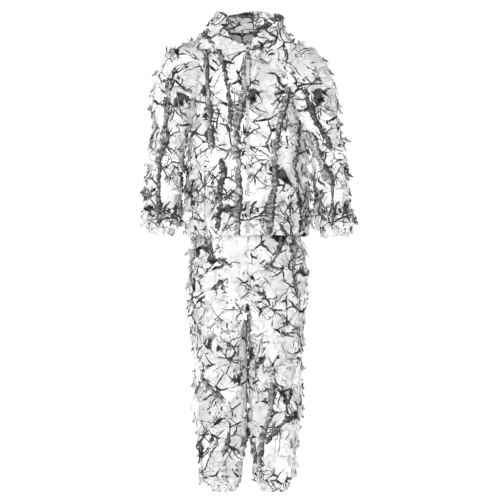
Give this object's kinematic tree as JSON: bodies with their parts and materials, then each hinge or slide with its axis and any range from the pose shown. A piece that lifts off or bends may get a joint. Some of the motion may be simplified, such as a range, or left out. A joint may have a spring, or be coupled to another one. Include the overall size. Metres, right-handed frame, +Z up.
{
  "type": "ghillie suit",
  "caption": "Two-piece snow-camouflage ghillie suit: a zipped hooded jacket and elastic-waisted trousers covered in sewn-on cloth leaves, with gathered cuffs, hem and ankles.",
  "frame": {"origin": "centre of the trousers' waist", "axes": "+Z up the suit, front faces -Y, the wearer's left is +X"},
  "size_m": [0.702, 0.3353, 1.637],
  "materials": {
    "base_cloth": "matte",
    "leaf_cloth": "matte",
    "elastic": "matte",
    "webbing": "matte",
    "zip_tape": "matte",
    "zip_chain": "satin",
    "zip_metal": "satin"
  },
  "bodies": {
    "trousers": {"seat_panel_left": "base_cloth", "seat_panel_right": "base_cloth", "seat_leaves": "leaf_cloth", "waistband": "base_cloth", "waist_elastic": "elastic"},
    "jacket": {"front_panel_left": "base_cloth", "front_panel_right": "base_cloth", "front_leaves_left": "leaf_cloth", "front_leaves_right": "leaf_cloth", "back_panel": "base_cloth", "back_leaves": "leaf_cloth", "hem_casing": "base_cloth", "hem_elastic": "elastic", "collar_left": "base_cloth", "collar_right": "base_cloth", "collar_leaves": "leaf_cloth", "zip_tape_left": "zip_tape", "zip_tape_right": "zip_tape", "zip_chain_left": "zip_chain", "zip_chain_right": "zip_chain", "zip_top_stops": "zip_chain", "zip_end_box": "zip_chain", "wind_flap": "base_cloth", "hanger_loop": "webbing"},
    "hood": {"hood_panel_left": "base_cloth", "hood_panel_right": "base_cloth", "hood_leaves": "leaf_cloth"},
    "zip_slider": {"zip_slider": "zip_metal"},
    "zip_pull": {"zip_pull": "zip_metal"},
    "sleeve_left": {"sleeve_left": "base_cloth", "sleeve_leaves_left": "leaf_cloth"},
    "forearm_left": {"forearm_left": "base_cloth", "forearm_leaves_left": "leaf_cloth", "cuff_casing_left": "base_cloth", "cuff_elastic_left": "elastic"},
    "leg_left": {"thigh_left": "base_cloth", "thigh_leaves_left": "leaf_cloth"},
    "shin_left": {"shin_left": "base_cloth", "shin_leaves_left": "leaf_cloth", "ankle_casing_left": "base_cloth", "ankle_elastic_left": "elastic"},
    "sleeve_right": {"sleeve_right": "base_cloth", "sleeve_leaves_right": "leaf_cloth"},
    "forearm_right": {"forearm_right": "base_cloth", "forearm_leaves_right": "leaf_cloth", "cuff_casing_right": "base_cloth", "cuff_elastic_right": "elastic"},
    "leg_right": {"thigh_right": "base_cloth", "thigh_leaves_right": "leaf_cloth"},
    "shin_right": {"shin_right": "base_cloth", "shin_leaves_right": "leaf_cloth", "ankle_casing_right": "base_cloth", "ankle_elastic_right": "elastic"}
  },
  "joints": [
    {"name": "jacket_lift", "type": "slide", "parent": "trousers", "child": "jacket", "axis": [0, 0, 1], "range_m": [0, 0.3]},
    {"name": "hood_raise", "type": "hinge", "parent": "jacket", "child": "hood", "pos_m": [0, 0.096, 0.615], "axis": [1, 0, 0], "range_deg": [0, 120]},
    {"name": "zip_slide", "type": "slide", "parent": "jacket", "child": "zip_slider", "axis": [0, -0.0559, -0.9984], "range_m": [0, 0.6]},
    {"name": "zip_pull_swing", "type": "hinge", "parent": "zip_slider", "child": "zip_pull", "pos_m": [0, -0.09478, 0.50935], "axis": [-1, 0, 0], "range_deg": [0, 150]},
    {"name": "shoulder_left", "type": "hinge", "parent": "jacket", "child": "sleeve_left", "pos_m": [0.195, 0.005, 0.42], "axis": [0, -1, 0], "range_deg": [0, 75]},
    {"name": "elbow_left", "type": "hinge", "parent": "sleeve_left", "child": "forearm_left", "pos_m": [0.273, 0.005, 0.171], "axis": [-1, 0, 0], "range_deg": [0, 60]},
    {"name": "hip_left", "type": "hinge", "parent": "trousers", "child": "leg_left", "pos_m": [0.103, 0, -0.33], "axis": [-1, 0, 0], "range_deg": [-15, 50]},
    {"name": "knee_left", "type": "hinge", "parent": "leg_left", "child": "shin_left", "pos_m": [0.095, 0.003, -0.662], "axis": [1, 0, 0], "range_deg": [0, 60]},
    {"name": "shoulder_right", "type": "hinge", "parent": "jacket", "child": "sleeve_right", "pos_m": [-0.195, 0.005, 0.42], "axis": [0, 1, 0], "range_deg": [0, 75]},
    {"name": "elbow_right", "type": "hinge", "parent": "sleeve_right", "child": "forearm_right", "pos_m": [-0.273, 0.005, 0.171], "axis": [-1, 0, 0], "range_deg": [0, 60]},
    {"name": "hip_right", "type": "hinge", "parent": "trousers", "child": "leg_right", "pos_m": [-0.103, 0, -0.33], "axis": [-1, 0, 0], "range_deg": [-15, 50]},
    {"name": "knee_right", "type": "hinge", "parent": "leg_right", "child": "shin_right", "pos_m": [-0.095, 0.003, -0.662], "axis": [1, 0, 0], "range_deg": [0, 60]}
  ]
}
